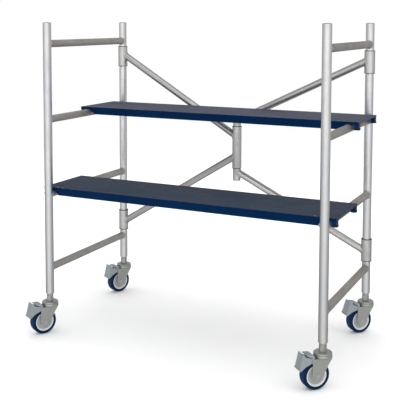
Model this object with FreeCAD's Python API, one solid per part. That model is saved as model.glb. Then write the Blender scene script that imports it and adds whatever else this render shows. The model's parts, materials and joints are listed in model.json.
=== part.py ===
import FreeCAD, Part
import math
import os

# Folding aluminium baker scaffold, millimetres, +Z up.
# X runs along the decks (right is +X), Y from the front uprights to the rear
# ones. The floor is Z = 0. The origin is on the floor, at the middle of the
# footprint of the parked casters. Parts are drawn about the middle of the
# four uprights and moved by FRAME_SHIFT when they are saved.

V = FreeCAD.Vector
Y_AXIS = (0, 1, 0)
Z_AXIS = (0, 0, 1)

# ---------------------------------------------------------------- dimensions
FRAME_PITCH = 1740.0        # between the two end frames, upright axis to axis
FRAME_DEPTH = 870.0         # front upright axis to rear upright axis
HALF_PITCH = FRAME_PITCH / 2
HALF_DEPTH = FRAME_DEPTH / 2
FRAME_SHIFT = V(21.0, 48.5, 0)
RUN_GAP = 0.08              # radial running clearance of every turning fit

TUBE_WALL = 2.0             # uprights, rungs, braces and centre tube
TUBE_FOOT = 240.0           # underside of the uprights above the floor
UPRIGHT_LEN = 1655.0
UPRIGHT_R = 25.4
UPRIGHT_BORE = UPRIGHT_R - TUBE_WALL
RUNG_R = 22.5
RUNG_Z = [398.0, 855.0, 1312.0, 1770.0]
PLUG_GAP = 0.05             # radial gap between a plug and its tube
PLUG_WALL = 2.2

# hinge sleeves round the rear uprights
SLEEVE_R = 31.75
SLEEVE_BORE = 29.4
SLEEVE_LEN = 131.0
SLEEVE_Z = [509.5, 1663.5]  # middle of the lower and the upper sleeve
SLEEVE_FLANGE_R = 32.8
BUSH_FLANGE_T = 3.5
BUSH_LEN = 24.0
STOP_RIVET_R = 3.2
STOP_RIVET_DROP = 5.5       # rivet axis below the lower bush

# centre hinge of the rear gates
CENTRE_TUBE_R = 25.4
CENTRE_TUBE_Z = (865.0, 1303.0)
CENTRE_SLEEVE_R = 30.0
CENTRE_SLEEVE_BORE = 28.0
CENTRE_SLEEVE_Z = (948.0, 1220.0)
CENTRE_FLANGE_R = CENTRE_SLEEVE_R + 0.8
CENTRE_RIVET_R = 2.4
CENTRE_RIVET_DROP = 4.6

BRACE_R = 22.0
# height of each brace axis where it crosses the axis of
# (the rear upright, the centre hinge)
RIGHT_BRACES = {"lower": (494.4, 922.8), "upper": (1677.3, 1258.6)}
LEFT_BRACES = {"lower": (490.3, 1030.2), "upper": (1681.3, 1152.1)}

# decks; x values are distances from the deck's middle
DECK_HALF = 926.0
DECK_WIDTH = 400.0
DECK_TOP = 36.0             # deck surface above the rung centre
PANEL_T = 9.0
RAIL_T = 2.5
RAIL_BOTTOM = -10.5         # underside of the side rail from the rung centre
RAIL_END = 822.0            # full height of the rail ends here
RAIL_NOTCH = 850.0          # slanted end cut reaches the notch here
NOTCH_Z = RUNG_R + 0.5      # notch above the rung centre
BOTTOM_FLANGE_W = 22.0
TOP_FLANGE_W = 26.0
TOP_FLANGE_HALF = 775.0
SLOT_R = 4.0
SLOT_HALF = 8.0             # slot middle to the centre of its round end

MEMBER_X = (-560.0, -190.0, 190.0, 560.0)
MEMBER_T = 2.2
MEMBER_HALF = 20.0
MEMBER_LIP = 30.0           # outer edge of a lip from the member's middle
LIP_SETBACK = 24.0          # from the rail web to the end of a lip
END_MEMBER_X = (782.0, 818.0)

HOOK_W = 31.0
HOOK_PLATE_T = 4.0
HOOK_START = 786.0          # inboard end of the arm
HOOK_IN = 898.5             # inner face of the hook's leg, outboard of the rung
HOOK_OUT = DECK_HALF - 0.4  # outer face of the leg
HOOK_DROP = -7.5            # lower end of a hook from the rung centre
PAD_T = 1.5

DECK_RIVET_X = (802.0, 836.0)
DECK_RIVET_R = 3.2
DECK_RIVET_HEAD_R = 6.0
DECK_RIVET_SINK = 2.0       # depth of the recess for the head
DECK_RIVET_TAIL_R = 5.2

# casters
WHEEL_R = 76.0
TYRE_HALF = 26.0
CORE_R = 57.0
HUB_HALF = 29.4
TRAIL = 48.0                # swivel axis to wheel axis
AXLE_R = 8.0
AXLE_END = 8.0              # axle length outside each fork leg
AXLE_HEX_ACROSS_FLATS = 24.0
WASHER_R = 14.5
WASHER_T = 1.6
FORK_IN = 30.2              # faces of a fork leg from the wheel's middle
FORK_OUT = 33.2
KINGPIN_R = 9.0
RACE_TOP = 192.0
CROWN_TOP = 179.5
PIVOT_X, PIVOT_Z = 66.0, 158.0
PIVOT_R = 4.0
PIVOT_HEAD_R = 6.2
PIVOT_HEAD_T = 2.2
PEDAL_OUT = 29.4            # faces of a pedal cheek from the wheel's middle
PEDAL_IN = 27.2
PEDAL_BOSS_R = 7.0
PEDAL_BOSS_T = 3.4
# x side, y side, direction of the axle in degrees from -Y towards +X,
# and turn of the pedal about its pivot (negative lifts its outer end)
CASTERS = {
    "front_left": (-1, -1, 61.0, 0.0),
    "front_right": (1, -1, 46.0, 0.0),
    "rear_right": (1, 1, 48.0, -6.0),
    "rear_left": (-1, 1, 65.0, 0.0),
}

os.makedirs("parts", exist_ok=True)


# ------------------------------------------------------------------- helpers
def cyl(base, axis, radius, height):
    return Part.makeCylinder(radius, height, V(*base), V(*axis))


def ring(base, axis, radius, bore, height):
    bore_base = [b - a for b, a in zip(base, axis)]
    return cyl(base, axis, radius, height).cut(cyl(bore_base, axis, bore, height + 2))


def box(x0, x1, y0, y1, z0, z1):
    """A box between two values on each axis, given in either order."""
    corner = V(min(x0, x1), min(y0, y1), min(z0, z1))
    return Part.makeBox(abs(x1 - x0), abs(y1 - y0), abs(z1 - z0), corner)


def polygon_face(points):
    return Part.Face(Part.makePolygon(points + points[:1]))


def prism_y(outline, y0, y1):
    """A closed outline of (x, z) points, pushed from y0 to y1."""
    return polygon_face([V(x, y0, z) for x, z in outline]).extrude(V(0, y1 - y0, 0))


def turned_z(outline, x=0, y=0):
    """A closed outline of (radius, z) points, turned about a vertical axis."""
    face = polygon_face([V(x + r, y, z) for r, z in outline])
    return face.revolve(V(x, y, 0), V(*Z_AXIS), 360)


def hex_corners(radius, start=0):
    angles = [math.radians(60 * i + start) for i in range(6)]
    return [(radius * math.cos(a), radius * math.sin(a)) for a in angles]


def largest(shape):
    return max(shape.Solids, key=lambda solid: solid.Volume)


def one(shape):
    shape = shape.removeSplitter()
    if len(shape.Solids) != 1:
        raise RuntimeError("expected one solid, found %d" % len(shape.Solids))
    return shape.Solids[0]


def save(name, *solids):
    placed = []
    for solid in solids:
        solid = solid.copy()
        solid.translate(FRAME_SHIFT)
        if not solid.isValid():
            raise RuntimeError(name + " has an invalid solid")
        placed.append(solid)
    shape = placed[0] if len(placed) == 1 else Part.makeCompound(placed)
    shape.exportStep("parts/" + name + ".step")


# ---------------------------------------------------- tube plugs and rivets
def tube_plug(x, y, z, up, tube_r, depth, crown):
    """Hollow plug in a tube's end at z; up is 1 or -1.
    The crown is a list of (radius, rise) points."""
    bore = tube_r - TUBE_WALL
    outline = [(0, -4), (bore - PLUG_WALL, -4), (bore - PLUG_WALL, -depth),
               (bore - PLUG_GAP, -depth), (bore - PLUG_GAP, 0), (tube_r, 0)] + crown
    return one(turned_z([(r, z + up * rise) for r, rise in outline], x, y))


def rivet_hole(x, z, radius):
    """Cutter along Y through a tube in the rear plane."""
    return cyl((x, HALF_DEPTH - 40, z), Y_AXIS, radius, 80)


def tube_rivet(x, z, tube_r, radius, overhang, head_r, head_len):
    """Rivet along Y through a tube in the rear plane, its heads fitted to it."""
    rivet = cyl((x, HALF_DEPTH - tube_r - overhang, z), Y_AXIS, radius, 2 * (tube_r + overhang))
    for side in (-1, 1):
        head = cyl((x, HALF_DEPTH + side * (tube_r - 2.0), z), (0, side, 0), head_r, head_len)
        rivet = rivet.fuse(head.cut(cyl((x, HALF_DEPTH, z - 20), Z_AXIS, tube_r, 40)))
    return one(rivet)


# ---------------------------------------------------------------- end frames
STOP_RIVET_Z = [z - SLEEVE_LEN / 2 - BUSH_FLANGE_T - STOP_RIVET_DROP for z in SLEEVE_Z]


def upright(x, y):
    return ring((x, y, TUBE_FOOT), Z_AXIS, UPRIGHT_R, UPRIGHT_BORE, UPRIGHT_LEN)


def rung(x, z):
    tube = ring((x, -HALF_DEPTH, z), Y_AXIS, RUNG_R, RUNG_R - TUBE_WALL, FRAME_DEPTH)
    for y in (-HALF_DEPTH, HALF_DEPTH):
        tube = tube.cut(cyl((x, y, z - 60), Z_AXIS, UPRIGHT_R, 120))
    return one(tube)


def end_frame(side, x):
    save(side + "_front_upright", one(upright(x, -HALF_DEPTH)))
    rear = upright(x, HALF_DEPTH)
    for z in STOP_RIVET_Z:
        rear = rear.cut(rivet_hole(x, z, STOP_RIVET_R))
    save(side + "_rear_upright", one(rear))
    save(side + "_rungs", *[rung(x, z) for z in RUNG_Z])
    crown = [(UPRIGHT_R - 1.0, 1.8), (14, 3.4), (0, 4.0)]
    save(side + "_top_caps",
         *[tube_plug(x, y, TUBE_FOOT + UPRIGHT_LEN, 1, UPRIGHT_R, 22, crown)
           for y in (-HALF_DEPTH, HALF_DEPTH)])
    # each rivet carries the hinge sleeve above it
    save(side + "_stop_rivets",
         *[tube_rivet(x, z, UPRIGHT_R, STOP_RIVET_R, overhang=3.0, head_r=5.4, head_len=5.4)
           for z in STOP_RIVET_Z])


# ---------------------------------------------------------------- rear gates
def bush(x, z, up, tube_r, sleeve_bore, flange_r):
    """Bush in a sleeve's end at z, its flange outside; up is 1 or -1."""
    bore = tube_r + RUN_GAP
    outline = [(bore, BUSH_FLANGE_T), (flange_r, BUSH_FLANGE_T), (flange_r, 0),
               (sleeve_bore, 0), (sleeve_bore, -BUSH_LEN), (bore, -BUSH_LEN)]
    return one(turned_z([(r, z + up * rise) for r, rise in outline], x, HALF_DEPTH))


def brace(x, post_z, centre_z, centre_r):
    """Tube from the centre hinge to a rear upright, coped at both ends."""
    start = V(0, HALF_DEPTH, centre_z)
    span = V(x, HALF_DEPTH, post_z) - start
    axis = [component / span.Length for component in span]
    tube = cyl(start, axis, BRACE_R, span.Length)
    tube = tube.cut(cyl(start, axis, BRACE_R - TUBE_WALL, span.Length))
    tube = tube.cut(cyl((x, HALF_DEPTH, post_z - 150), Z_AXIS, SLEEVE_R, 300))
    tube = tube.cut(cyl((0, HALF_DEPTH, centre_z - 150), Z_AXIS, centre_r, 300))
    return one(largest(tube))


def gate_side(side, x, braces, centre_r):
    sleeves, bushes = [], []
    for z in SLEEVE_Z:
        low, high = z - SLEEVE_LEN / 2, z + SLEEVE_LEN / 2
        sleeves.append(one(ring((x, HALF_DEPTH, low), Z_AXIS, SLEEVE_R, SLEEVE_BORE, SLEEVE_LEN)))
        for end_z, up in ((high, 1), (low, -1)):
            bushes.append(bush(x, end_z, up, UPRIGHT_R, SLEEVE_BORE, SLEEVE_FLANGE_R))
    save(side + "_post_sleeves", *sleeves)
    save(side + "_sleeve_bushes", *bushes)
    for level, (post_z, centre_z) in braces.items():
        save("%s_%s_brace" % (side, level), brace(x, post_z, centre_z, centre_r))


def centre_hinge():
    tube_low, tube_high = CENTRE_TUBE_Z
    low, high = CENTRE_SLEEVE_Z
    # the rivet carries the centre sleeve
    rivet_z = low - BUSH_FLANGE_T - CENTRE_RIVET_DROP
    tube = ring((0, HALF_DEPTH, tube_low), Z_AXIS,
                CENTRE_TUBE_R, CENTRE_TUBE_R - TUBE_WALL, tube_high - tube_low)
    save("centre_tube", one(tube.cut(rivet_hole(0, rivet_z, CENTRE_RIVET_R))))
    save("centre_tube_rivet",
         tube_rivet(0, rivet_z, CENTRE_TUBE_R, CENTRE_RIVET_R,
                    overhang=2.5, head_r=4.2, head_len=4.5))
    crown = [(CENTRE_TUBE_R - 1, 1.8), (0, 3.2)]
    save("centre_tube_plugs",
         *[tube_plug(0, HALF_DEPTH, z, up, CENTRE_TUBE_R, 20, crown)
           for z, up in ((tube_high, 1), (tube_low, -1))])
    save("centre_sleeve",
         one(ring((0, HALF_DEPTH, low), Z_AXIS, CENTRE_SLEEVE_R, CENTRE_SLEEVE_BORE, high - low)))
    save("centre_sleeve_bushes",
         *[bush(0, z, up, CENTRE_TUBE_R, CENTRE_SLEEVE_BORE, CENTRE_FLANGE_R)
           for z, up in ((high, 1), (low, -1))])


# --------------------------------------------------------------------- decks
def arc_edge(x, y, z, radius, start, end):
    """Arc in the plane Y = y about (x, z), angles in degrees from +X to +Z."""
    angles = [math.radians(a) for a in (start, (start + end) / 2, end)]
    points = [V(x + radius * math.cos(a), y, z + radius * math.sin(a)) for a in angles]
    return Part.Arc(*points).toShape()


def hook_face(y, top, bottom):
    """Side view of the hook at the +X end: an arm with a leg down at its end."""
    under = top - HOOK_PLATE_T
    outer_r, toe_out_r, toe_in_r, throat_r = 6.0, 7.0, 4.0, 18.0

    def line(x0, z0, x1, z1):
        return Part.makeLine(V(x0, y, z0), V(x1, y, z1))

    edges = [
        line(HOOK_START, top, HOOK_OUT - outer_r, top),
        arc_edge(HOOK_OUT - outer_r, y, top - outer_r, outer_r, 90, 0),
        line(HOOK_OUT, top - outer_r, HOOK_OUT, bottom + toe_out_r),
        arc_edge(HOOK_OUT - toe_out_r, y, bottom + toe_out_r, toe_out_r, 0, -90),
        line(HOOK_OUT - toe_out_r, bottom, HOOK_IN + toe_in_r, bottom),
        arc_edge(HOOK_IN + toe_in_r, y, bottom + toe_in_r, toe_in_r, 270, 180),
        line(HOOK_IN, bottom + toe_in_r, HOOK_IN, under - throat_r),
        arc_edge(HOOK_IN - throat_r, y, under - throat_r, throat_r, 0, 90),
        line(HOOK_IN - throat_r, under, HOOK_START, under),
        line(HOOK_START, under, HOOK_START, top),
    ]
    return Part.Face(Part.Wire(edges))


class Deck:
    """A deck hung on the two rungs at rung_z, its front edge at front_y."""

    def __init__(self, name, rung_z, front_y, slot=None):
        self.rung_z = rung_z
        self.front, self.rear = front_y, front_y + DECK_WIDTH
        self.web_front, self.web_rear = self.front + RAIL_T, self.rear - RAIL_T
        self.top = rung_z + DECK_TOP
        self.panel_z = self.top - PANEL_T       # underside of the panel
        self.rail_z = rung_z + RAIL_BOTTOM
        self.member_z = self.rail_z + RAIL_T    # underside of the cross members
        self.hook_spans = ((self.web_front, self.web_front + HOOK_W),
                           (self.web_rear - HOOK_W, self.web_rear))
        save(name + "_side_rails", self.rail(self.front, 1), self.rail(self.rear, -1))
        save(name + "_panel", self.panel(slot))
        save(name + "_rivets", *[self.rivet(x, y) for x, y in self.rivet_places()])
        save(name + "_cross_members",
             *[self.cross_member(x) for x in MEMBER_X],
             *[self.end_member(side) for side in (-1, 1)])
        self.save_hooks(name)

    def rail(self, outer_y, inward):
        """Side rail, notched over the rungs, with two flanges turned inward."""
        notch = self.rung_z + NOTCH_Z
        web = [(-DECK_HALF, self.top), (DECK_HALF, self.top), (DECK_HALF, notch),
               (RAIL_NOTCH, notch), (RAIL_END, self.rail_z), (-RAIL_END, self.rail_z),
               (-RAIL_NOTCH, notch), (-DECK_HALF, notch)]
        y0, y1 = sorted((outer_y, outer_y + inward * RAIL_T))
        rail = prism_y(web, y0, y1)
        rail = rail.fuse(box(-RAIL_END, RAIL_END, outer_y, outer_y + inward * BOTTOM_FLANGE_W,
                             self.rail_z, self.member_z))
        rail = rail.fuse(box(-TOP_FLANGE_HALF, TOP_FLANGE_HALF,
                             outer_y, outer_y + inward * TOP_FLANGE_W,
                             self.panel_z - RAIL_T, self.panel_z))
        return one(rail)

    def rivet_places(self):
        return [(side * x, (y0 + y1) / 2)
                for side in (-1, 1) for y0, y1 in self.hook_spans for x in DECK_RIVET_X]

    def panel(self, slot):
        under = self.panel_z - 5
        panel = box(-DECK_HALF, DECK_HALF, self.web_front, self.web_rear, self.panel_z, self.top)
        for x, y in self.rivet_places():
            panel = panel.cut(cyl((x, y, under), Z_AXIS, DECK_RIVET_R, PANEL_T + 10))
            panel = panel.cut(cyl((x, y, self.top - DECK_RIVET_SINK), Z_AXIS,
                                  DECK_RIVET_HEAD_R, 4.0))
        if slot:
            x, y = slot
            cutter = box(x - SLOT_HALF, x + SLOT_HALF, y - SLOT_R, y + SLOT_R,
                         under, self.top + 5)
            for end in (-SLOT_HALF, SLOT_HALF):
                cutter = cutter.fuse(cyl((x + end, y, under), Z_AXIS, SLOT_R, PANEL_T + 10))
            panel = panel.cut(cutter)
        return one(panel)

    def rivet(self, x, y):
        """Rivet through the panel and a hook, its head sunk in the panel."""
        hook_under = self.panel_z - HOOK_PLATE_T
        rivet = cyl((x, y, self.top - DECK_RIVET_SINK), Z_AXIS, DECK_RIVET_HEAD_R, 1.9)
        rivet = rivet.fuse(cyl((x, y, hook_under - 2.2), Z_AXIS, DECK_RIVET_R,
                               PANEL_T + HOOK_PLATE_T + 1.0))
        return one(rivet.fuse(cyl((x, y, hook_under - 2.4), Z_AXIS, DECK_RIVET_TAIL_R, 2.4)))

    def cross_member(self, x):
        """Channel open downwards, with a lip out from each lower edge."""
        bottom, top = self.member_z, self.panel_z - RAIL_T
        inner = MEMBER_HALF - MEMBER_T
        member = box(x - MEMBER_HALF, x + MEMBER_HALF, self.web_front, self.web_rear, bottom, top)
        member = member.cut(box(x - inner, x + inner, self.web_front - 1, self.web_rear + 1,
                                bottom - 1, top - MEMBER_T))
        for side in (-1, 1):
            member = member.fuse(box(x + side * MEMBER_LIP, x + side * inner,
                                     self.web_front + LIP_SETBACK, self.web_rear - LIP_SETBACK,
                                     bottom, bottom + MEMBER_T))
        return one(member)

    def end_member(self, side):
        """Channel below the hooks, open towards the deck's middle."""
        near, far = END_MEMBER_X
        bottom, top = self.member_z, self.panel_z - HOOK_PLATE_T
        member = box(side * near, side * far, self.web_front, self.web_rear, bottom, top)
        member = member.cut(box(side * (near - 1), side * (far - MEMBER_T),
                                self.web_front - 1, self.web_rear + 1,
                                bottom + MEMBER_T, top - MEMBER_T))
        # holes round the rivet tails
        for y0, y1 in self.hook_spans:
            member = member.cut(cyl((side * DECK_RIVET_X[0], (y0 + y1) / 2, self.panel_z - 8),
                                    Z_AXIS, DECK_RIVET_TAIL_R + 0.1, 8))
        return one(member)

    def save_hooks(self, name):
        """Hooks over the rungs and the feet on their legs, at four corners.
        They are drawn at the +X end and mirrored for the other."""
        bottom = self.rung_z + HOOK_DROP
        hooks, pads = [], []
        for side in (-1, 1):
            for y0, y1 in self.hook_spans:
                hook = hook_face(y0, self.panel_z, bottom).extrude(V(0, y1 - y0, 0))
                for x in DECK_RIVET_X:
                    hook = hook.cut(cyl((x, (y0 + y1) / 2, self.panel_z - 20), Z_AXIS,
                                        DECK_RIVET_R, 30))
                pad = box(HOOK_IN - PAD_T, HOOK_OUT + PAD_T, y0 - PAD_T, y1 + PAD_T,
                          bottom - 3.0, bottom + 6.0)
                pad = largest(pad.cut(hook))
                if side < 0:
                    hook, pad = [q.mirror(V(0, 0, 0), V(1, 0, 0)) for q in (hook, pad)]
                hooks.append(one(hook))
                pads.append(one(pad))
        save(name + "_hooks", *hooks)
        save(name + "_hook_pads", *pads)


# ------------------------------------------------------------------- casters
# Drawn with the swivel axis on Z, the wheel trailing towards +X and its axle
# along Y, then turned to each wheel's parked direction.
def caster_stem():
    """Kingpin and its head, swivel race, lock nut and the plug in the upright."""
    plug_r = UPRIGHT_BORE - PLUG_GAP
    # (radius, z), from the kingpin's head upwards
    stem = turned_z([
        (0, 156.0), (14, 156.0), (14, 162.5), (KINGPIN_R, 162.5), (KINGPIN_R, 180.2),
        (47, 180.2), (49.5, 182.5), (49.5, 186.0), (46, 189.5), (38, 191.0), (25, RACE_TOP),
        (17.0, RACE_TOP + 0.5), (17.0, 226.0), (19.8, 228.0), (19.8, 234.0), (17.5, 238.0),
        (17.5, TUBE_FOOT + 2.0), (plug_r, TUBE_FOOT + 4.0), (plug_r, TUBE_FOOT + 66.0),
        (UPRIGHT_BORE - 4, TUBE_FOOT + 72.0), (0, TUBE_FOOT + 72.0)])
    nut_z = RACE_TOP + 4.0
    nut = polygon_face([V(x, y, nut_z) for x, y in hex_corners(21.5, 15)]).extrude(V(0, 0, 28.0))
    chamfer = turned_z([(0, nut_z), (19.6, nut_z), (21.6, nut_z + 2.0), (21.6, nut_z + 25.0),
                        (19.6, nut_z + 28.0), (0, nut_z + 28.0)])
    return one(stem.fuse(nut.common(chamfer)))


def fork_leg_face(y):
    """Side view of a fork leg, rounded below the axle."""
    corners = [V(x, y, z) for x, z in
               ((75.5, 82), (73, 166), (-43, 166), (-21, 134), (-3, 104), (14, 76))]
    edges = [Part.makeLine(a, b) for a, b in zip(corners, corners[1:])]
    edges.append(Part.Arc(corners[-1], V(46, y, 46.5), corners[0]).toShape())
    return Part.Face(Part.Wire(edges))


def caster_fork():
    """Dished crown with two tapered legs."""
    bore = KINGPIN_R + RUN_GAP
    crown = turned_z([(bore, 163.2), (41, 163.2), (48.5, 167.0), (50.0, 170.0),
                      (50.0, 176.0), (48.0, CROWN_TOP), (bore, CROWN_TOP)])
    legs = fork_leg_face(-FORK_OUT).extrude(V(0, 2 * FORK_OUT, 0))
    legs = legs.cut(box(-80, 120, -FORK_IN, FORK_IN, 0, 161.0))
    envelope = cyl((0, 0, 20), Z_AXIS, 50.0, 160).fuse(box(0, 90, -45, 45, 20, 180))
    legs = legs.common(envelope)
    # open between the legs on the trailing side, so the pedal can turn
    legs = legs.cut(box(50.5, 120, -FORK_IN, FORK_IN, 0, 180))
    fork = crown.fuse(legs)
    fork = fork.cut(cyl((0, 0, 150), Z_AXIS, bore, 40))
    fork = fork.cut(cyl((0, 0, 150), Z_AXIS, 16.5, 13.2))
    fork = fork.cut(cyl((TRAIL, -60, WHEEL_R), Y_AXIS, AXLE_R, 120))
    return one(fork.cut(cyl((PIVOT_X, -60, PIVOT_Z), Y_AXIS, PIVOT_R, 120)))


def axle_bolt():
    """Axle with a hexagon and a washer outside each fork leg."""
    axle = cyl((TRAIL, -FORK_OUT - AXLE_END, WHEEL_R), Y_AXIS, AXLE_R, 2 * (FORK_OUT + AXLE_END))
    corners = [(TRAIL + x, WHEEL_R + z)
               for x, z in hex_corners(AXLE_HEX_ACROSS_FLATS / math.sqrt(3))]
    for side, hex_t, washer_y in ((1, 7.0, FORK_OUT), (-1, 9.0, -FORK_OUT - WASHER_T)):
        axle = axle.fuse(prism_y(corners, side * FORK_OUT, side * (FORK_OUT + hex_t)))
        axle = axle.fuse(cyl((TRAIL, washer_y, WHEEL_R), Y_AXIS, WASHER_R, WASHER_T))
    return one(axle)


def pedal_pivot():
    pivot = cyl((PIVOT_X, -FORK_OUT - PIVOT_HEAD_T, PIVOT_Z), Y_AXIS,
                PIVOT_R, 2 * (FORK_OUT + PIVOT_HEAD_T))
    for side in (-1, 1):
        pivot = pivot.fuse(cyl((PIVOT_X, side * FORK_OUT, PIVOT_Z), (0, side, 0),
                               PIVOT_HEAD_R, PIVOT_HEAD_T))
    return one(pivot)


def wheel_part(half_outline):
    """Half an outline of (y, radius) points, mirrored and turned about the axle."""
    outline = [(-y, r) for y, r in half_outline] + half_outline[::-1]
    face = polygon_face([V(TRAIL, y, WHEEL_R + r) for y, r in outline])
    return one(face.revolve(V(TRAIL, 0, WHEEL_R), V(*Y_AXIS), 360))


# (distance from the wheel's middle plane, radius)
CORE_OUTLINE = [
    (25.8, CORE_R), (25.8, 53.0), (24.8, 52.0), (22.0, 51.0), (19.5, 47.0), (19.5, 26.0),
    (22.5, 21.0), (29.0, 19.5), (HUB_HALF, 19.0), (HUB_HALF, AXLE_R + RUN_GAP)]
TYRE_OUTLINE = [
    (TYRE_HALF, CORE_R), (TYRE_HALF, 69.0), (25.2, 72.4), (23.0, 74.8), (19.5, WHEEL_R)]

# brake pedal side views, (x, z)
PEDAL_OUTLINE = [
    (58, 149), (58, 169), (66, 187), (80, 191), (104, 192.5), (107, 189.5), (75, 173.5),
    (76, 169.5), (112, 183.5), (122, 196), (127, 200), (146, 125), (151.5, 120.5),
    (150, 117), (145, 118.5), (143.5, 110.5), (140, 110.5), (112, 131), (80, 145), (66, 144)]
PEDAL_HOLLOW = [
    (50, 130), (50, 166), (66, 183.2), (80, 187.9), (100, 189.4), (105, 186.3),
    (96, 181.8), (79.3, 173.2), (80.3, 168.4), (110.6, 180.2), (120.3, 192.0),
    (123.8, 195.0), (143.2, 121.5), (141.2, 112), (141, 95), (90, 95), (60, 120)]
SHOE_OUTLINE = [(86.5, 172.0), (90.5, 173.5), (92, 148), (88, 147)]


def brake_pedal():
    """Rocker with two cheeks, an outer and an upper lobe, and a shoe above the tyre."""
    pedal = prism_y(PEDAL_OUTLINE, -PEDAL_OUT, PEDAL_OUT)
    pedal = pedal.cut(prism_y(PEDAL_HOLLOW, -PEDAL_IN, PEDAL_IN))
    pedal = pedal.fuse(prism_y(SHOE_OUTLINE, -PEDAL_IN - 1, PEDAL_IN + 1))
    bosses = [cyl((PIVOT_X, y, PIVOT_Z), Y_AXIS, PEDAL_BOSS_R, PEDAL_BOSS_T)
              for y in (-PEDAL_OUT, PEDAL_OUT - PEDAL_BOSS_T)]
    pedal = pedal.fuse(bosses[0].fuse(bosses[1]))
    pedal = pedal.cut(cyl((PIVOT_X, -40, PIVOT_Z), Y_AXIS, PIVOT_R + RUN_GAP, 80))
    # keep the rocker out of the crown's space
    pedal = pedal.cut(cyl((0, 0, 100), Z_AXIS, 52.5, 120))
    return one(largest(pedal))


def save_casters():
    pieces = {
        "stem": [caster_stem()],
        "fork": [caster_fork()],
        "bolts": [axle_bolt(), pedal_pivot()],
        "wheel_core": [wheel_part(CORE_OUTLINE)],
        "tyre": [wheel_part(TYRE_OUTLINE)],
        "brake_pedal": [brake_pedal()],
    }
    for corner, (x_side, y_side, axle_angle, pedal_turn) in CASTERS.items():
        for piece, solids in pieces.items():
            placed = [solid.copy() for solid in solids]
            for solid in placed:
                if piece == "brake_pedal" and pedal_turn:
                    solid.rotate(V(PIVOT_X, 0, PIVOT_Z), V(*Y_AXIS), pedal_turn)
                solid.rotate(V(0, 0, 0), V(*Z_AXIS), axle_angle + 180.0)
                solid.translate(V(x_side * HALF_PITCH, y_side * HALF_DEPTH, 0))
            save(corner + "_" + piece, *placed)


end_frame("right", HALF_PITCH)
end_frame("left", -HALF_PITCH)
gate_side("right", HALF_PITCH, RIGHT_BRACES, CENTRE_TUBE_R)
gate_side("left", -HALF_PITCH, LEFT_BRACES, CENTRE_SLEEVE_R)
centre_hinge()
Deck("lower_deck", RUNG_Z[1], front_y=-405.0, slot=(853.0, -178.0))
Deck("upper_deck", RUNG_Z[2], front_y=-2.0)
save_casters()
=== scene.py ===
import bpy
import bmesh
import json
import math
import random
from mathutils import Vector, Matrix


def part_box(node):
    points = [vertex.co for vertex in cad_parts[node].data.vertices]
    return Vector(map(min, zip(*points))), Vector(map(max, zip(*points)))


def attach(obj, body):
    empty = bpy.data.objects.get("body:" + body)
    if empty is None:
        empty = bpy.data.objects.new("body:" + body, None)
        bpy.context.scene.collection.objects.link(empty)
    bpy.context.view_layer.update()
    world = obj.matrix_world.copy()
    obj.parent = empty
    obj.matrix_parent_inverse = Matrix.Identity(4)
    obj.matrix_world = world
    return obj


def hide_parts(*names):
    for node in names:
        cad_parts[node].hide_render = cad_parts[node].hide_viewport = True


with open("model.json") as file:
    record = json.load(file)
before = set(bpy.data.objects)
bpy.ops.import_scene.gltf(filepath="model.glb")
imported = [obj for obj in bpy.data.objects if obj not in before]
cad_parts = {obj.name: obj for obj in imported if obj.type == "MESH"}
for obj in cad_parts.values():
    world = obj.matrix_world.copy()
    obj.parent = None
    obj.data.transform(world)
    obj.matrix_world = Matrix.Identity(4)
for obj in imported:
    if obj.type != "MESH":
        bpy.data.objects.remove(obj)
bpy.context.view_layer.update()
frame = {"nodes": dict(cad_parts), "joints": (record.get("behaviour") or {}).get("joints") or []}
NODES = frame["nodes"]
scene = bpy.context.scene
MM = 0.001

# ---------------------------------------------------------------------------
# places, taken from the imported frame
# ---------------------------------------------------------------------------
JOINT = {j["name"]: j for j in frame["joints"]}
RIGHT_X, REAR_Y = JOINT["fold"]["pos_m"][0], JOINT["fold"]["pos_m"][1]
CENTRE_X = JOINT["centre_hinge"]["pos_m"][0]
LEFT_X = JOINT["left_post_hinge"]["pos_m"][0]
FRONT_Y = JOINT["front_right_swivel"]["pos_m"][1]
lo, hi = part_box("right_front_upright")
UPRIGHT_R = (hi.x - lo.x) / 2
UP_Z0, UP_Z1 = lo.z, hi.z
RUNG_Z = (0.398, 0.855, 1.312, 1.770)
RUNG_R = 0.0225
SLEEVE_R = 0.03175
CENTRE_R = 0.0254
CENTRE_SLEEVE_R = 0.030
BRACE_R = 0.022
BRACES = {  # brace: (side x, height at the upright's axis, height at the centre axis, centre radius)
    "right_lower_brace": (RIGHT_X, 0.4944, 0.9228, CENTRE_R),
    "right_upper_brace": (RIGHT_X, 1.6773, 1.2586, CENTRE_R),
    "left_lower_brace": (LEFT_X, 0.4903, 1.0302, CENTRE_SLEEVE_R),
    "left_upper_brace": (LEFT_X, 1.6813, 1.1521, CENTRE_SLEEVE_R),
}


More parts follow.
